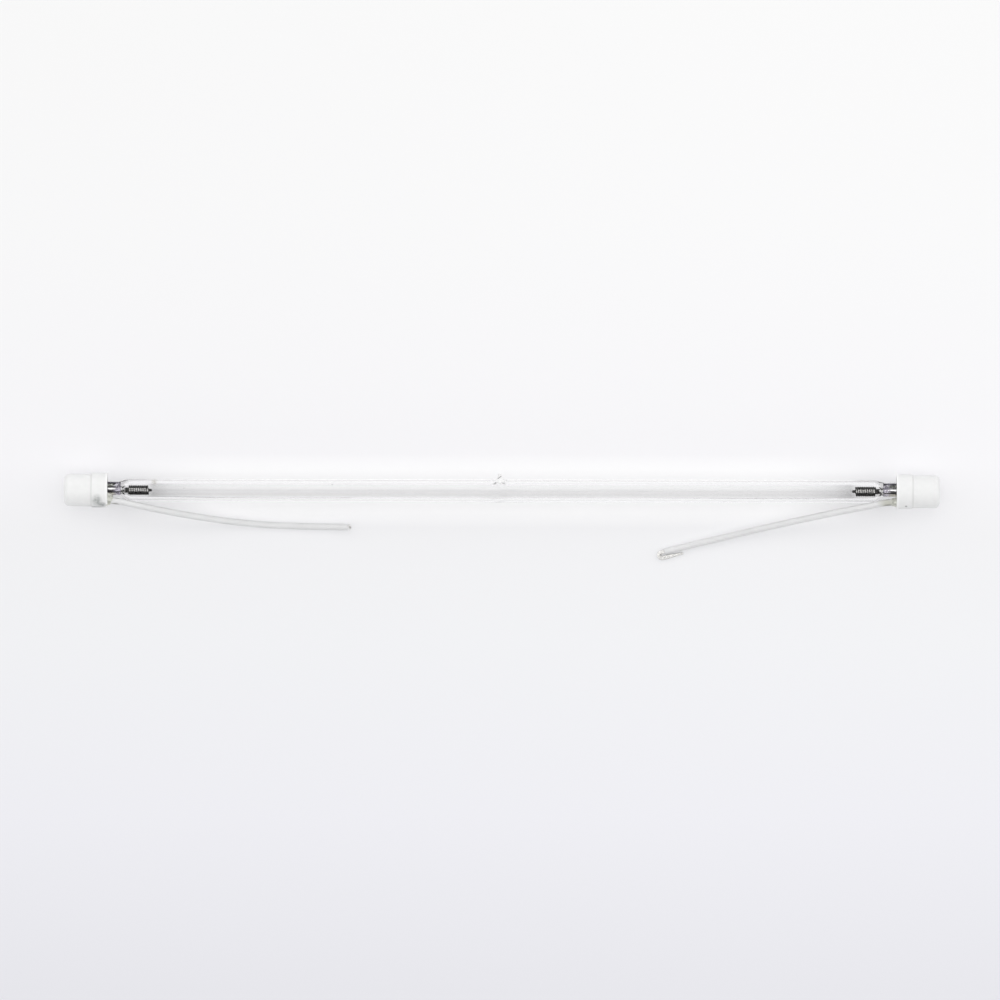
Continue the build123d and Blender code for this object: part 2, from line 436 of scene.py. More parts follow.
def metal_material(name, dark, light, grain, roughness, stretch=(1, 1, 1)):
    """Metal whose colour and polish vary with a grain of a size in millimetres."""
    material, tree, principled = shader(name)
    principled.inputs["Metallic"].default_value = 1.0
    fine = noise_at(tree, place_of(tree, stretch), grain, 4.0)
    tree.links.new(ramp(tree, fine, [(0.3, dark), (0.7, light)]), principled.inputs["Base Color"])
    tree.links.new(
        level(tree, fine, 0.3, 0.7, roughness[0], roughness[1]), principled.inputs["Roughness"]
    )
    bump(tree, principled, fine, 0.25, 0.02 * MM)
    return material


# Sooty tungsten: the ends of its colours, and the tint of its reflections
soot_dark = (0.010, 0.010, 0.010)
soot_light = (0.035, 0.034, 0.033)
soot_shine = (0.3, 0.3, 0.3, 1.0)


def rod_material():
    """The rod: dark by the coil, and pale in patches where the quartz closes on it."""
    material, tree, principled = shader("tungsten_rod")
    principled.inputs["Metallic"].default_value = 1.0
    principled.inputs["Specular Tint"].default_value = soot_shine
    along, _, _ = apart_of(tree, place_of(tree))
    patches = noise_at(tree, place_of(tree), 0.6, 3.0)
    dark = ramp(tree, patches, [(0.3, soot_dark), (0.7, soot_light)])
    out = distance_from(tree, along, 0.0)
    sealed = level(tree, out, bore_end / MM - 1.3, bore_end / MM - 0.6, 0.0, 1.0)
    blotches = noise_at(tree, place_of(tree), 1.1, 2.0)
    bare = times(tree, sealed, level(tree, blotches, 0.44, 0.50, 0.05, 1.0))
    tint = mixed(tree, bare, dark, (0.95, 0.95, 0.95, 1.0))
    tree.links.new(tint, principled.inputs["Base Color"])
    tree.links.new(level(tree, patches, 0.3, 0.7, 0.5, 0.65), principled.inputs["Roughness"])
    bump(tree, principled, patches, 0.25, 0.02 * MM)
    return material


def crest_material():
    """The outside of the coil's turns: dark and sooty, with a painted highlight along the top,
    where the metal is coloured bright and is smoother.
    """
    material, tree, principled = shader("tungsten_crests")
    principled.inputs["Metallic"].default_value = 1.0
    _, across, height = apart_of(tree, place_of(tree))
    # painted highlight: the coil is coloured bright along its top, where light falls from above
    painted_light = times(
        tree,
        level(tree, distance_from(tree, across, 0.2), 0.45, 0.85, 1.0, 0.0),
        level(tree, height, axis_height / MM, axis_height / MM + 0.5, 0.0, 1.0),
    )
    patches = noise_at(tree, place_of(tree), 0.7, 3.0)
    sooty = ramp(tree, patches, [(0.35, (0.01, 0.01, 0.01)), (0.65, (0.05, 0.049, 0.047))])
    painted_highlight = ramp(tree, patches, [(0.35, (0.30, 0.295, 0.29)), (0.6, (0.66, 0.65, 0.64))])
    tree.links.new(mixed(tree, painted_light, sooty, painted_highlight), principled.inputs["Base Color"])
    tree.links.new(level(tree, painted_light, 0.0, 1.0, 0.6, 0.2), principled.inputs["Roughness"])
    principled.inputs["Specular Tint"].default_value = soot_shine
    return material


# Colours across the foil, by the distance from the axis towards the far side in millimetres: heat
# tints and grey, with black and white bands that are painted reflections
foil_tints_and_reflections = [
    (-1.9, (0.50, 0.48, 0.43)),
    (-1.0, (0.46, 0.44, 0.38)),
    (-0.8, (0.05, 0.05, 0.05)),
    (0.15, (0.06, 0.055, 0.06)),
    (0.32, (0.92, 0.92, 0.92)),
    (0.85, (0.85, 0.85, 0.85)),
    (1.05, (0.06, 0.06, 0.06)),
    (1.35, (0.08, 0.08, 0.08)),
    (1.50, (0.42, 0.43, 0.40)),
    (2.10, (0.34, 0.35, 0.33)),
    (2.45, (0.07, 0.06, 0.10)),
    (2.9, (0.16, 0.14, 0.22)),
]


def foil_material():
    """Creased foil: heat-tinted streaks along it, bright and dark streaks that are painted
    reflections, and lilac patches by the rod.
    """
    material, tree, principled = shader("molybdenum_foil")
    principled.inputs["Metallic"].default_value = 1.0
    along, across, _ = apart_of(tree, place_of(tree))
    wander = noise_at(tree, place_of(tree, (0.35, 1.0, 1.0)), 1.0, 3.0)
    sway = level(tree, wander, 0.2, 0.8, -0.3, 0.3)
    swayed = add(tree, "ShaderNodeMath", operation="ADD")
    tree.links.new(across, swayed.inputs[0])
    tree.links.new(sway, swayed.inputs[1])
    first, last = foil_tints_and_reflections[0][0], foil_tints_and_reflections[-1][0]
    share = level(tree, swayed.outputs["Value"], first, last, 0.0, 1.0)
    stops = [((place - first) / (last - first), tint) for place, tint in foil_tints_and_reflections]
    # painted reflections: the black and white bands in the foil's colour
    reflection_streaks = ramp(tree, share, stops)
    patches = noise_at(tree, place_of(tree), 0.55, 3.0)
    lilac = ramp(
        tree,
        patches,
        [
            (0.38, (0.78, 0.77, 0.80)),
            (0.44, (0.34, 0.31, 0.39)),
            (0.50, (0.12, 0.10, 0.15)),
            (0.56, (0.34, 0.31, 0.39)),
            (0.62, (0.80, 0.79, 0.82)),
        ],
    )
    out = distance_from(tree, along, 0.0)
    by_rod = level(tree, out, rod_end / MM - 0.6, rod_end / MM + 1.4, 0.85, 0.0)
    tree.links.new(mixed(tree, by_rod, reflection_streaks, lilac), principled.inputs["Base Color"])
    fine = noise_at(tree, place_of(tree, (0.2, 1.0, 1.0)), 0.25, 3.0)
    tree.links.new(level(tree, fine, 0.3, 0.7, 0.05, 0.16), principled.inputs["Roughness"])
    bump(tree, principled, fine, 0.3, 0.02 * MM)
    return material


def ceramic_material(name, marks_and_shade):
    """Fine unglazed ceramic, faintly mottled, with the dirt marks and painted shade of one cap,
    painted light along the rim of its mouth and painted shade in the collar's step.
    """
    material, tree, principled = shader(name)
    mottle = noise_at(tree, place_of(tree), 2.5, 4.0)
    tint = ramp(tree, mottle, [(0.3, (0.85, 0.853, 0.85)), (0.7, (0.88, 0.882, 0.88))])
    along, _, _ = apart_of(tree, place_of(tree))
    out = distance_from(tree, along, 0.0)
    # painted light: the ceramic is coloured whiter along the rim of the mouth
    painted_rim_light = level(tree, out, cap_mouth / MM + 0.3, cap_mouth / MM + 1.4, 1.0, 0.0)
    tint = mixed(tree, painted_rim_light, tint, (0.97, 0.972, 0.968, 1.0))
    # painted shade: a dark line in the corner of the collar's step
    step = (cap_mouth + collar_length) / MM + 0.12
    step_shade = level(tree, distance_from(tree, out, step), 0.1, 0.5, 1.0, 0.0)
    tint = mixed(tree, step_shade, tint, (0.76, 0.76, 0.755, 1.0))
    for centre, radii, strength, colour in marks_and_shade:
        blotches = noise_at(tree, place_of(tree), 1.3, 4.0, 0.65)
        patchy = level(tree, blotches, 0.38, 0.62, 0.5, strength)
        mark_and_shade = times(tree, spot(tree, centre, radii, 0.25), patchy)
        tint = mixed(tree, mark_and_shade, tint, (*colour, 1.0))
    tree.links.new(tint, principled.inputs["Base Color"])
    grain = noise_at(tree, place_of(tree), 0.22, 3.0)
    tree.links.new(level(tree, grain, 0.3, 0.7, 0.42, 0.62), principled.inputs["Roughness"])
    bump(tree, principled, grain, 0.2, 0.03 * MM)
    return material


def cement_material():
    """Dry granular cement, with painted light making it paler towards the far side."""
    material, tree, principled = shader("cap_cement")
    grain = noise_at(tree, place_of(tree), 0.35, 5.0, 0.7)
    blotches = noise_at(tree, place_of(tree), 1.6, 3.0)
    tint = ramp(tree, blotches, [(0.38, (0.28, 0.28, 0.24)), (0.64, (0.68, 0.69, 0.63))])
    pale = level(tree, grain, 0.35, 0.65, 0.0, 0.3)
    tint = mixed(tree, pale, tint, (0.80, 0.80, 0.75, 1.0))
    _, across, _ = apart_of(tree, place_of(tree))
    # painted light: the cement is coloured paler towards the far side of the mouth
    painted_light = level(tree, across, -2.0, 0.5, 0.0, 0.9)
    tint = mixed(tree, painted_light, tint, (0.93, 0.93, 0.92, 1.0))
    tree.links.new(tint, principled.inputs["Base Color"])
    principled.inputs["Roughness"].default_value = 0.9
    bump(tree, principled, grain, 0.6, 0.08 * MM)
    return material


# Dirt and painted shade beside the leads' exits: centre and radii in millimetres, and colour. The
# olive first entry is dirt; the dark ones are painted shade under each lead and between each lead
# and the stem.
lead_dirt_and_shade = [
    ((177.5, -5.2, 12.4), (5.5, 2.6, 3.0), (0.52, 0.52, 0.47)),
    ((-178.0, -6.6, 10.6), (2.6, 1.2, 3.5), (0.14, 0.14, 0.12)),
    ((-176.6, -3.4, 11.2), (2.6, 0.6, 3.0), (0.14, 0.14, 0.12)),
    ((177.8, -6.6, 10.6), (3.4, 1.3, 3.5), (0.14, 0.14, 0.12)),
    ((176.6, -3.4, 11.2), (2.6, 0.6, 3.0), (0.14, 0.14, 0.12)),
]


def insulation_material():
    """Satin silicone insulation, a little dusty, with faint lines along the lead, and dirt and
    painted shade by its exits.
    """
    material, tree, principled = shader("lead_insulation")
    cloud = noise_at(tree, place_of(tree, (0.25, 1.0, 1.0)), 3.0, 3.0)
    tint = ramp(tree, cloud, [(0.3, (0.715, 0.715, 0.72)), (0.7, (0.775, 0.775, 0.78))])
    # dirt and painted shade by the exits
    for centre, radii, colour in lead_dirt_and_shade:
        tint = mixed(tree, spot(tree, centre, radii, 0.3), tint, (*colour, 1.0))
    tree.links.new(tint, principled.inputs["Base Color"])
    grain = noise_at(tree, place_of(tree, (0.3, 1.0, 1.0)), 0.3, 3.0)
    tree.links.new(level(tree, grain, 0.3, 0.7, 0.36, 0.5), principled.inputs["Roughness"])
    bump(tree, principled, grain, 0.15, 0.03 * MM)
    return material


def floor_material():
    """A pale table top with painted shade, darker towards the near side and the left, and painted
    light where the tube throws light; it keeps soft shadows.
    """
    material, tree, principled = shader("table")
    along, across, _ = apart_of(tree, place_of(tree))
    share = level(tree, across, -floor_reach, floor_reach, 0.0, 1.0)
    stops = [((floor_reach + place) / (2 * floor_reach), tint) for place, tint in floor_shade_tints]
    shade = ramp(tree, share, stops)
    painted_tube_light = times(
        tree,
        level(tree, distance_from(tree, across, 0.0), *throw_across, 1.0, 0.0),
        level(tree, distance_from(tree, along, 0.0), *throw_along, 1.0, 0.0),
    )
    # painted light: the table is coloured lighter where the tube throws light on it
    shade = mixed(tree, painted_tube_light, shade, (0.985, 0.983, 0.993, 1.0))
    # painted shade: the table is coloured darker towards the left
    left_shade = level(tree, along, -floor_reach, 120.0, 1.0, 0.0)
    shade = mixed(tree, left_shade, shade, (0.98, 0.98, 0.98, 1.0), "MULTIPLY")
    tree.links.new(shade, principled.inputs["Base Color"])
    principled.inputs["Roughness"].default_value = 0.8
    principled.inputs["Specular IOR Level"].default_value = 0.0
    glow = add(tree, "ShaderNodeEmission")
    tree.links.new(shade, glow.inputs["Color"])
    rays = add(tree, "ShaderNodeLightPath")
    seen = rays.outputs["Is Camera Ray"]
    for kind in ("Is Glossy Ray", "Is Transmission Ray"):
        either = add(tree, "ShaderNodeMath", operation="MAXIMUM")
        tree.links.new(seen, either.inputs[0])
        tree.links.new(rays.outputs[kind], either.inputs[1])
        seen = either.outputs["Value"]
    blend = add(tree, "ShaderNodeMixShader")
    shadowless = level(tree, painted_tube_light, 0.0, 1.0, *floor_glow)
    tree.links.new(times(tree, seen, shadowless), blend.inputs["Fac"])
    tree.links.new(principled.outputs["BSDF"], blend.inputs[1])
    tree.links.new(glow.outputs["Emission"], blend.inputs[2])
    tree.links.new(blend.outputs["Shader"], tree.nodes["Material Output"].inputs["Surface"])
    return material


# Camera, straight above the lamp

view_width = 0.4604  # of the table, at the height of the lamp's axis
view_distance = 5.0
view_centre = Vector((-0.92, -4.2, 0)) * MM
view_roll = 0.00205

camera = linked("camera", bpy.data.cameras.new("camera"))
camera.data.sensor_width = 36.0
camera.data.lens = camera.data.sensor_width * view_distance / view_width
camera.location = view_centre + Vector((0, 0, axis_height + view_distance))
camera.rotation_euler = (0, 0, view_roll)
bpy.context.scene.camera = camera


# Leads: control points of their curves, near the routes of the CAD tubes

lead_routes = {
    "left": [
        (-0.18701, -0.004628, 0.011241),
        (-0.17771, -0.004628, 0.011241),
        (-0.16851, -0.0069, 0.0120),
        (-0.14951, -0.01075, 0.0088),
        (-0.1300, -0.01378, 0.0046),
        (-0.1120, -0.01575, 0.00148),
        (-0.0940, -0.01655, 0.00155),
        (-0.0745, -0.01675, 0.0015),
        (-0.0702, -0.0169, 0.0044),
    ],
    "right": [
        (0.18701, -0.004628, 0.011241),
        (0.17771, -0.004628, 0.011241),
        (0.16851, -0.0068, 0.0120),
        (0.14951, -0.0104, 0.0092),
        (0.11151, -0.0189, 0.0030),
        (0.0750, -0.0278, 0.0016),
    ],
}

# The left lead's cut strands: radius, length outside and inside, and rings round the middle one
strand_radius = 0.14 * MM
cut_strands = 0.5 * MM
cut_depth = 0.4 * MM
cut_rings = [(6, 0.3 * MM), (12, 0.58 * MM)]  # how many strands, and how far out

# The right lead's folded strands
fold_depth = 0.6 * MM  # inside the insulation
fold_reach = 2.9 * MM  # beyond the insulation
fold_gap = 2.65 * MM  # from the lead's middle to the strands folded back beside it
fold_back = 9.8 * MM
fold_height = 1.05 * MM  # of the tail's middle over the table
fold_strands = 11
fold_strand_radius = 0.25 * MM
core_radius = 0.62 * MM
bundle_radius = 0.80 * MM  # of the ring of strands
bundle_twist = 0.1  # from one point of the line to the next
tail_start = 26  # point of the line from which the tail narrows
tail_narrowing = 0.55
tail_ragged = 7  # points of the line by which a strand may be shorter


def lead_curve(side, material):
    """The lead's insulation, as a smooth curve with a round section."""
    data = bpy.data.curves.new(f"{side}_lead_insulation", "CURVE")
    data.dimensions = "3D"
    data.bevel_depth = lead_radius
    data.bevel_resolution = 6
    data.resolution_u = 24
    data.use_fill_caps = True
    spline = data.splines.new("NURBS")
    spline.points.add(len(lead_routes[side]) - 1)
    for point, place in zip(spline.points, lead_routes[side]):
        point.co = (*place, 1.0)
    spline.order_u = 3
    spline.use_endpoint_u = True
    spline.use_smooth = True
    data.materials.append(material)
    lead = linked(f"{side}_lead_insulation", data)
    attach(lead, "root")
    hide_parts(f"{side}_lead")
    return lead


def lead_end(side):
    """Where a lead's insulation ends, and the ways ahead, up and across there."""
    last, end = (Vector(place) for place in lead_routes[side][-2:])
    ahead = (end - last).normalized()
    up = (Vector((0, 0, 1)) - ahead * ahead.z).normalized()
    return end, ahead, up, ahead.cross(up)


def cut_tip(material):
    """The left lead's end: strands cut off almost level with the insulation."""
    end, ahead, up, across = lead_end("left")
    places = [(0.0, 0.0)]
    for count, far in cut_rings:
        places += [(far * math.cos(turn), far * math.sin(turn)) for turn in turns_of(count)]
    shells = []
    for to_side, to_up in places:
        length = cut_strands * draws.uniform(0.2, 1.2)
        line = []
        for share in spread(0.0, 1.0, 4):
            place = end + ahead * ((length + cut_depth) * share - cut_depth)
            line.append(place + across * to_side + up * to_up)
        shells.append(skin(wire_rings(line, [strand_radius] * len(line), 8)))
    return piece("left_lead_strands", joined(shells), material, "tinned_copper", "left_lead_tip")


def folded_tip(material):
    """The right lead's end: twisted strands bent round and folded back beside the lead."""
    end, ahead = lead_end("right")[:2]
    ahead = Vector((ahead.x, ahead.y, 0)).normalized()
    beside = Vector((-ahead.y, ahead.x, 0))
    beside *= -1 if beside.y > 0 else 1
    bend = fold_gap / 2
    drop = end.z - fold_height
    line = [end + ahead * out for out in spread(-fold_depth, fold_reach - bend, 8)]
    turn_start = line[-1]
    for angle in spread(0.0, math.pi, 16)[1:]:
        place = turn_start + ahead * bend * math.sin(angle) + beside * bend * (1 - math.cos(angle))
        line.append(place - Vector((0, 0, drop * angle / math.pi)))
    turn_end = line[-1]
    line += [turn_end - ahead * back for back in spread(0.0, fold_back, 28)[1:]]
    places = range(len(line))
    taper = [1 - tail_narrowing * smooth_step(place, tail_start, len(line)) for place in places]
    shells = [skin(wire_rings(line, [core_radius * share for share in taper], 16))]
    for count in range(fold_strands):
        length = len(line) - draws.randrange(0, tail_ragged)
        strand = []
        for place, point in enumerate(line[:length]):
            before, after = line[max(place - 1, 0)], line[min(place + 1, len(line) - 1)]
            way = (after - before).normalized()
            side = way.cross(Vector((0, 0, 1))).normalized()
            turn = count * 2 * math.pi / fold_strands + place * bundle_twist
            out = bundle_radius * min(0.75 + place * 0.05, 1.0) * taper[place]
            strand.append(point + (side * math.cos(turn) + side.cross(way) * math.sin(turn)) * out)
        shells.append(skin(wire_rings(strand, [fold_strand_radius] * len(strand), 8)))
    return piece("right_lead_strands", joined(shells), material, "tinned_copper", "right_lead_tip")


# Quartz tube

bore_sides = 112
stem_waves = 0.06 * MM
glass_waves = 0.10 * MM  # on the outside by the pip
bore_waves = 0.05 * MM  # along the whole bore
dome_waves = 0.06 * MM  # at the bore's ends
root_waves = 0.26 * MM  # on the bore by the pip
dimple_depth = 0.2 * MM
dimple_width = 0.9 * MM


def reflected(stations):
    """The same stations at the lamp's left end, from left to right."""
    return [-station for station in reversed(stations)]


def waves(station, turn, length, fineness, shift=0.0):
    """Noise on the glass, with a length along the tube and a fineness round it."""
    across, up = math.cos(turn) * fineness, math.sin(turn) * fineness
    return noise.noise(Vector((station / length, across, up + shift)))


def near_pip(station, reach):
    """A share of 1 at the pip's station that fades along the tube."""
    return math.exp(-(((station - pip_place) / reach) ** 2))


def tube_stations():
    """Stations along the glass: close together at the pip and at the shoulders."""
    near_end = spread(shoulder_start - 1 * MM, bore_end + 3 * MM, 40)
    outer_end = spread(bore_end + 3.4 * MM, stem_end, 36)
    plain_right = spread(pip_place + pip_area, shoulder_start - 2 * MM, 70)
    plain_left = spread(pip_area - pip_place, shoulder_start - 2 * MM, 70)
    left = reflected(plain_left + near_end + outer_end)
    middle = spread(pip_place - pip_fine, pip_place + pip_fine, 62)
    return left + middle + plain_right + near_end + outer_end


def pip_bump(station, turn, height, width, power):
    """Height of a nub at the pip's place on the tube."""
    around = math.remainder(turn - pip_angle, 2 * math.pi) * tube_radius
    away = math.hypot(station - pip_place, around)
    return height * math.exp(-((away / width) ** power))


def pip_rise(station, turn):
    """The pip: a stub of glass left by the flame, a little lumpy."""
    place = Vector((station / (1.1 * MM), turn * 5.0, 2.5))
    lumps = 1 + 0.22 * noise.noise(place)
    return pip_bump(station, turn, pip_height * lumps, pip_width, 3.0)


def outer_radius(station, turn):
    """The glass's outside: tube, shoulder and stem, with the pip and slight waves from drawing."""
    narrowing = smooth_step(abs(station), shoulder_start, shoulder_start + shoulder_length)
    radius = tube_radius + (stem_radius - tube_radius) * narrowing
    at_stem = smooth_step(abs(station), bore_end - 1 * MM, bore_end + 2 * MM)
    radius += stem_waves * at_stem * waves(station, turn, 2.2 * MM, 1.6)
    radius += glass_waves * near_pip(station, 9 * MM) * waves(station, turn, 6 * MM, 1.2)
    return radius + pip_rise(station, turn)


def bore_stations():
    """Stations along the bore: close together at the pip and at the domed ends."""
    straight = bore_end - bore_dome
    dome = spread(straight, bore_end, 30)
    plain_right = spread(pip_place + pip_area, straight - 1 * MM, 60)
    plain_left = spread(pip_area - pip_place, straight - 1 * MM, 60)
    middle = spread(pip_place - pip_fine, pip_place + pip_fine, 40)
    return reflected(plain_left + dome) + middle + plain_right + dome


def inner_radius(station, turn):
    """The bore, which closes on the rod with an uneven end and has a dimple under the pip."""
    share = max(abs(station) - (bore_end - bore_dome), 0.0) / bore_dome
    share = min(share, 1.0)
    narrow = rod_radius * 1.02
    radius = narrow + (bore_radius - narrow) * (1 - share**1.5)
    radius += bore_waves * waves(station, turn, 25 * MM, 0.8, 9) * (1 - share)
    lumps = max(waves(station, turn, 1.3 * MM, 1.7, 4), -0.3)
    radius += dome_waves * lumps * share * (1 - share**6)
    radius += root_waves * near_pip(station, 8 * MM) * waves(station, turn, 3.5 * MM, 1.5, 2)
    return radius + pip_bump(station, turn, dimple_depth, dimple_width, 2.0)


def quartz_tube():
    """The sealed tube: its outside, and its bore as an inner shell."""
    near = spread(pip_angle - 0.75, pip_angle + 0.75, 72)
    away = spread(pip_angle + 0.78, pip_angle + 2 * math.pi - 0.78, 84)
    outer_turns = near + away
    outside = [
        [about_axis(x, outer_radius(x, turn), turn) for turn in outer_turns]
        for x in tube_stations()
    ]
    inside = [
        [about_axis(x, inner_radius(x, turn), turn) for turn in turns_of(bore_sides)]
        for x in bore_stations()
    ]
    clear = quartz_material("quartz_glass", glass_tints, stains=glass_stains)
    sputtered = quartz_material("quartz_bore", bore_tints, near_shade=bore_near_shade)
    tipped = pip_material()
    whole = joined([skin(outside), skin(inside, inward=True)])
    outer_faces = len(outside) * len(outer_turns) + len(outer_turns)
    for count, face in enumerate(whole.faces):
        face.material_index = 0 if count < outer_faces else 1
        centre = face.calc_center_median()
        if count < outer_faces and abs(centre.x - pip_place) < pip_area:
            turn = math.atan2(centre.z - axis_height, centre.y)
            if pip_bump(centre.x, turn, 1.0, pip_area, 8.0) > 0.5:
                face.material_index = 2
    tube = piece("quartz_tube_glass", whole, clear, "quartz", "quartz_tube")
    tube.data.materials.append(sputtered)
    tube.data.materials.append(tipped)


# Electrodes and seals

rod_sides = 40
# The rod's nose: distance from its tip and radius, in millimetres
rod_nose = [(0.0, 0.2), (0.05, 0.38), (0.18, 0.52), (0.4, 0.6)]


def electrode_rod():
    """The rod: a rounded nose beyond the coil, the shank and a rounded end under the foil."""
    nose_end = coil_start + 0.1 * MM
    profile = [(arc_end + back * MM, radius * MM) for back, radius in rod_nose]
    profile += [(nose_end, 0.68 * MM)]
    profile += [(nose_end + 0.35 * MM, rod_radius * 0.97), (nose_end + 0.5 * MM, rod_radius)]
    profile += [(x, rod_radius) for x in spread(nose_end + 0.9 * MM, rod_end - 0.6 * MM, 30)]
    profile += arc((rod_end - 0.5 * MM, rod_radius - 0.5 * MM), 0.5 * MM, 90, 0, 7)
    return skin([[about_axis(x, r, turn) for turn in turns_of(rod_sides)] for x, r in profile])


coil_sides = 20
coil_steps = 36  # in each turn
coil_clearance = 0.02 * MM
coil_share = 0.97  # of the wire's radius, so that the turns stay apart
coil_tips = (0.55, 0.85, 0.97, 1.0)  # shares of the radius from each end of the wire inwards


def electrode_coil():
    """The wire wound on the rod, with both ends rounded off."""
    helix_radius = rod_radius + coil_clearance + wire_radius
    pitch = (coil_end + coil_lap - coil_start - 2 * wire_radius) / coil_turns
    steps = coil_turns * coil_steps
    rings = []
    for place, share in enumerate(spread(0.0, 1.0, steps + 1)):
        turn = 2 * math.pi * coil_turns * share
        station = coil_start + wire_radius + pitch * coil_turns * share
        middle = about_axis(station, helix_radius, turn)
        outward = Vector((0, math.cos(turn), math.sin(turn)))
        beside = Vector((1, 0, 0))
        from_end = min(place, steps - place)
        radius = wire_radius * coil_tips[min(from_end, len(coil_tips) - 1)] * coil_share
        ring = []
        for around in turns_of(coil_sides):
            ring.append(middle + (outward * math.cos(around) + beside * math.sin(around)) * radius)
        rings.append(ring)
    return skin(rings)


def coil_crests(coil):
    """Marks the faces along the outside of each turn, which take the painted highlight along the
    coil's top.
    """
    for count, face in enumerate(coil.data.polygons):
        outside = (count % coil_sides) in (0, 1, coil_sides - 2, coil_sides - 1)
        face.material_index = 1 if outside else 0


# Cross profile of the foil from its far edge to its near edge: share of the width and height
foil_profile = [
    (0.00, 0.05),
    (0.06, 0.0),
    (0.36, -0.10),
    (0.40, -0.12),
    (0.45, -0.26),
    (0.49, -0.27),
    (0.66, -0.27),
    (0.70, -0.31),
    (0.96, -0.88),
    (1.00, -0.92),
]
foil_shift = 0.80 * MM  # of the foil's middle towards the far side
foil_seeds = {"left": 1.3, "right": 4.1}


def foil_height(share):
    """The foil's height at a share of its width, from the cross profile."""
    for (before, low), (after, high) in zip(foil_profile, foil_profile[1:]):
        if share <= after:
            return (low + (high - low) * (share - before) / (after - before)) * MM
    return foil_profile[-1][1] * MM


def seal_foil(seed):
    """The foil, creased along its length by the quartz that shrank on it, ridged over the rod."""
    columns = spread(foil_start, foil_end, 110)
    rows = spread(0.0, 1.0, 90)
    thickness = 0.05 * MM

    def top(x, share):
        along = (x - foil_start) / (foil_end - foil_start)
        sway = 0.07 * noise.noise(Vector((x / (3.1 * MM), seed, 0.5)))
        fold = foil_height(min(max(share + sway, 0.0), 1.0))
        fold *= 0.75 + 0.5 * noise.noise(Vector((x / (4.0 * MM), 7.7, seed)))
        wrinkle = 0.10 * MM * noise.noise(Vector((x / (1.5 * MM), share * 5, seed + 3.7)))
        y = foil_shift + (0.5 - share) * foil_width
        height = fold + wrinkle + 0.35 * MM
        over_rod = rod_radius + 0.06 * MM
        if abs(y) < over_rod:
            height = max(math.sqrt(over_rod**2 - y * y), height)
        return Vector((x, y, axis_height + height - 0.1 * MM * along))

    rings = []
    for x in columns:
        upper = [top(x, share) for share in rows]
        lower = [point - Vector((0, 0, thickness)) for point in reversed(upper)]
        rings.append(upper + lower)
    return skin(rings)


def electrodes_and_seals():
    dark = metal_material("tungsten_dark", soot_dark, soot_light, 0.5, (0.5, 0.65))
    dark.node_tree.nodes["Principled BSDF"].inputs["Specular Tint"].default_value = soot_shine
    shank = rod_material()
    crests = crest_material()
    foil = foil_material()
    for side in ("left", "right"):
        rod, coil, strip = electrode_rod(), electrode_coil(), seal_foil(foil_seeds[side])
        if side == "left":
            rod, strip = mirrored(rod), mirrored(strip)
            half_turn = Matrix.Rotation(math.pi, 4, "Z")
            bmesh.ops.transform(coil, matrix=half_turn, verts=coil.verts)
        piece(f"{side}_rod", rod, shank, "tungsten", f"{side}_electrode_rod")
        wound = piece(f"{side}_coil", coil, dark, "tungsten", f"{side}_electrode_coil")
        wound.data.materials.append(crests)
        coil_crests(wound)
        piece(f"{side}_foil", strip, foil, "molybdenum", f"{side}_seal_foil")


# Caps

cap_sides = 192
cement_sides = 96
bead_sides = 64


def groove(turn):
    """How far the lead's groove reaches from the axis, or nothing beside it."""
    beside = math.remainder(turn - lead_angle, 2 * math.pi)
    offset = lead_offset * math.sin(beside)
    if abs(beside) > math.pi / 2 or abs(offset) > groove_radius:
        return 0.0
    return lead_offset * math.cos(beside) + math.sqrt(groove_radius**2 - offset**2)


def ceramic_cap():
    """The cap: a cup with a collar, a rounded end and a groove for the lead."""
    edge = 0.35 * MM
    collar_end = cap_mouth + collar_length
    groove_end = cap_mouth + 5.7 * MM
    inner = [(cavity_end, 0.5 * cavity_radius, False), (cavity_end, cavity_radius, False)]
    inner += [(groove_end + 0.01 * MM, cavity_radius, False), (groove_end, cavity_radius, True)]
    inner += [(cap_mouth + 0.25 * MM, cavity_radius, True)]
    inner += [(cap_mouth, cavity_radius + 0.2 * MM, True)]
    outer = [(cap_mouth, collar_radius - 0.5 * MM)]
    outer += arc((cap_mouth + edge, collar_radius - edge), edge, 180, 90, 7)
    outer += [(x, collar_radius) for x in spread(cap_mouth + 1 * MM, collar_end - 1 * MM, 5)]
    outer += arc((collar_end - edge, collar_radius - edge), edge, 90, 0, 6)
    outer += arc((collar_end + 0.15 * MM, body_radius + 0.15 * MM), 0.15 * MM, 180, 270, 4)
    outer += [(x, body_radius) for x in spread(collar_end + 1 * MM, cap_end - 3 * MM, 6)]
    outer += arc((cap_end - end_round, body_radius - end_round), end_round, 90, 0, 14)
    outer += [(cap_end, 0.6 * body_radius - end_round * 0.3), (cap_end, 0.3 * body_radius)]
    rings = []
    for station, radius, grooved in inner:
        rings.append(
            [
                about_axis(station, max(radius, groove(turn)) if grooved else radius, turn)
                for turn in turns_of(cap_sides)
            ]
        )
    rings += [[about_axis(x, radius, turn) for turn in turns_of(cap_sides)] for x, radius in outer]
    return skin(rings)


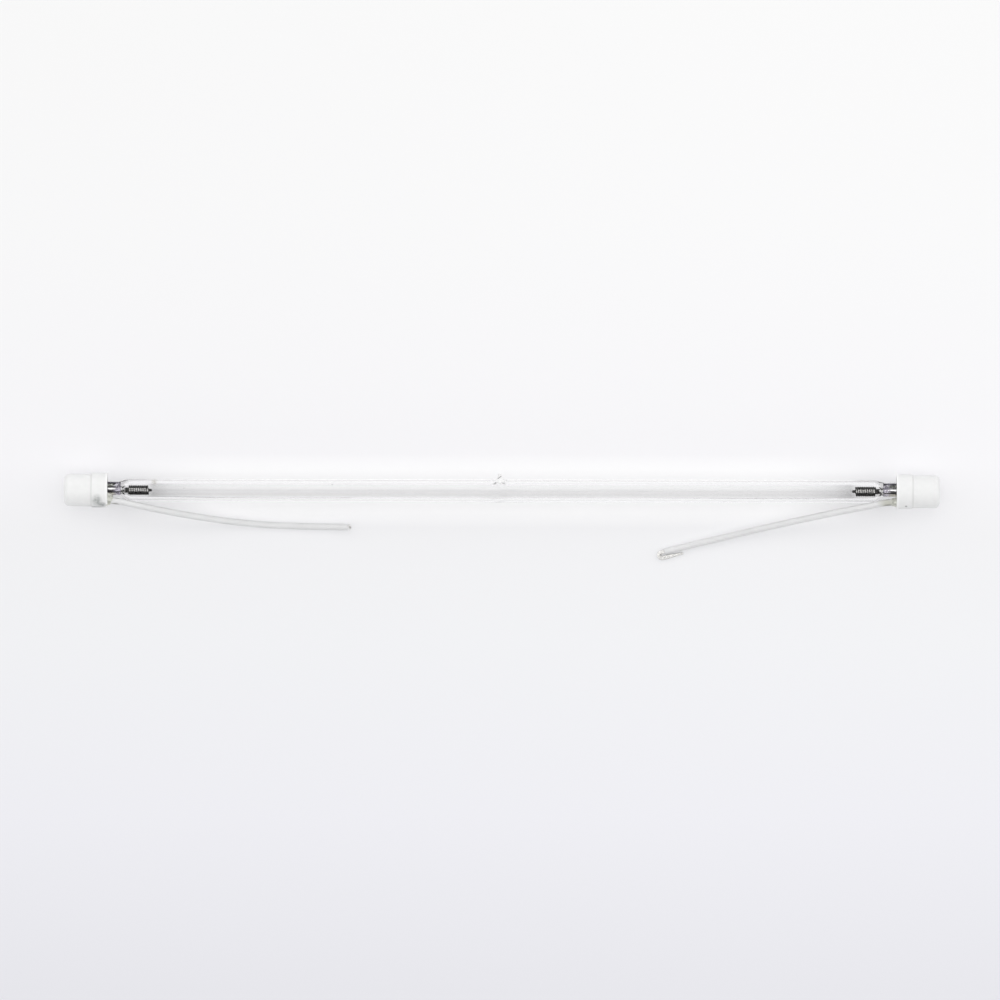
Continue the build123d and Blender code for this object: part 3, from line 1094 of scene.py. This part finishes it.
def cap_cement():
    """Cement in the cap's mouth, with an uneven face."""
    turns = turns_of(cement_sides)
    rings = []
    for share in spread(0.0, 1.0, 16):
        ring = []
        for turn in turns:
            wall = max(cavity_radius, groove(turn))
            radius = stem_radius + 0.02 * MM + (wall - stem_radius - 0.05 * MM) * share
            place = Vector((radius * math.cos(turn), radius * math.sin(turn), 5 * MM)) / (0.9 * MM)
            rise = 0.35 * MM * (2 * abs(share - 0.5)) ** 3 + 0.12 * MM * noise.noise(place)
            ring.append(about_axis(cement_face + 0.1 * MM - rise, radius, turn))
        rings.append(ring)
    rings.append([about_axis(cement_back, cavity_radius * 0.99, turn) for turn in turns])
    rings.insert(0, [about_axis(cement_back, stem_radius + 0.02 * MM, turn) for turn in turns])
    return skin(rings)


# Cement pressed out of the mouth round each lead: how far it reaches, half its width and height
beads = {
    "left": (2.6 * MM, 3.0 * MM, 2.6 * MM),
    "right": (3.3 * MM, 2.1 * MM, 2.0 * MM),
}
bead_root = 1.2 * MM  # of a lump inside the mouth


def cement_bead(reach, half_width, half_height):
    """A lump of cement over the rim, round the lead and against the stem."""
    centre = about_axis(0.0, lead_offset, lead_angle)
    centre.y += half_width - 2.2 * MM
    rings = []
    for share in spread(0.0, 1.0, 18):
        station = cap_mouth + bead_root - (reach + bead_root) * math.sin(share * math.pi / 2)
        swell = math.cos(share * math.pi / 2) ** 0.6
        ring = []
        for turn in turns_of(bead_sides):
            place = Vector((share * 2.0, math.cos(turn) * 1.5, math.sin(turn) * 1.5 + reach / MM))
            size = max(swell, 0.02) * (1 + 0.16 * noise.noise(place))
            y = centre.y + half_width * size * math.cos(turn)
            z = centre.z + half_height * size * math.sin(turn)
            out = math.hypot(y, z - axis_height)
            clear = max(stem_radius + 0.03 * MM, out) / max(out, 1e-6)
            ring.append(Vector((station, y * clear, axis_height + (z - axis_height) * clear)))
        rings.append(ring)
    return skin(rings)


# Marks and painted shade on each cap: centre and radii in millimetres, strength and colour
cap_marks_and_shade = {
    "left": [
        ((-186.3, -4.9, 13.7), (2.9, 3.9, 5.5), 0.95, (0.34, 0.36, 0.35)),
        ((-184.0, -6.6, 12.0), (2.3, 1.8, 3.5), 0.95, (0.28, 0.29, 0.29)),
        # dirt and painted shade: a dark line along the left cap's near lower edge
        ((-187.0, -7.8, 9.5), (5.5, 0.8, 3.0), 0.9, (0.36, 0.37, 0.37)),
    ],
    "right": [
        ((185.9, -6.8, 12.3), (0.75, 0.75, 0.9), 1.0, (0.22, 0.21, 0.22)),
    ],
}


def caps():
    cement = cement_material()
    for side in ("left", "right"):
        ceramic = ceramic_material(f"{side}_cap_ceramic", cap_marks_and_shade[side])
        cap = ceramic_cap()
        filling = joined([cap_cement(), cement_bead(*beads[side])])
        if side == "left":
            cap, filling = mirrored(cap), mirrored(filling)
        piece(f"{side}_cap", cap, ceramic, "ceramic", f"{side}_ceramic_cap")
        piece(f"{side}_cement", filling, cement, "cement", f"{side}_cap_cement")


def inner_metal():
    """Finish of the pieces inside the caps, which keep their CAD meshes."""
    nickel = metal_material("nickel", (0.50, 0.48, 0.45), (0.66, 0.64, 0.60), 0.4, (0.25, 0.4))
    copper = metal_material("tinned_tail", (0.52, 0.50, 0.47), (0.68, 0.66, 0.62), 0.3, (0.3, 0.45))
    finishes = {"lead_pin": nickel, "crimp_sleeve": nickel, "lead_tail": copper}
    for side in ("left", "right"):
        for name, material in finishes.items():
            node = frame["nodes"][f"{side}_{name}"]
            node.data.materials.clear()
            node.data.materials.append(material)


def leads():
    insulation = insulation_material()
    strands = metal_material(
        "tinned_strands", (0.66, 0.65, 0.63), (0.97, 0.965, 0.95), 0.6, (0.16, 0.3)
    )
    for side in ("left", "right"):
        lead = lead_curve(side, insulation)
        tip = cut_tip(strands) if side == "left" else folded_tip(strands)


# Table and light

# The sky's brightness by its lean from straight up towards the far side, in degrees
sky_levels = [
    (-90, 1.05),
    (-75, 0.88),
    (-65, 0.55),
    (-55, 0.15),
    (-45, 0.05),
    (-36, 0.40),
    (-25, 1.38),
    (-15, 1.68),
    (-5, 1.40),
    (5, 1.00),
    (15, 1.00),
    (25, 1.43),
    (35, 1.54),
    (45, 1.30),
    (55, 1.05),
    (65, 0.60),
    (80, 0.35),
]
sky_strength = 2.0
table_size = 4.0  # from the middle to each edge


def table():
    shell = bmesh.new()
    bmesh.ops.create_grid(shell, x_segments=2, y_segments=2, size=table_size)
    mesh = bpy.data.meshes.new("table")
    shell.to_mesh(mesh)
    shell.free()
    mesh.materials.append(floor_material())
    floor = linked("table", mesh)


def world():
    """Two long soft boxes over the lamp, one on the near side and one on the far side."""
    sky = bpy.data.worlds.new("studio")
    bpy.context.scene.world = sky
    sky.use_nodes = True
    tree = sky.node_tree
    background = tree.nodes["Background"]
    coordinates = add(tree, "ShaderNodeTexCoord")
    apart = add(tree, "ShaderNodeSeparateXYZ")
    tree.links.new(coordinates.outputs["Generated"], apart.inputs["Vector"])
    lean = add(tree, "ShaderNodeMath", operation="ARCTAN2")
    tree.links.new(apart.outputs["Y"], lean.inputs[0])
    tree.links.new(apart.outputs["Z"], lean.inputs[1])
    share = level(tree, lean.outputs["Value"], -math.pi / 2, math.pi / 2, 0.0, 1.0)
    stops = [((90 + degrees) / 180, (bright / sky_strength,) * 3) for degrees, bright in sky_levels]
    tree.links.new(ramp(tree, share, stops), background.inputs["Color"])
    background.inputs["Strength"].default_value = sky_strength


leads()
quartz_tube()
electrodes_and_seals()
caps()
inner_metal()
table()
world()

bpy.context.scene.view_settings.view_transform = "Standard"
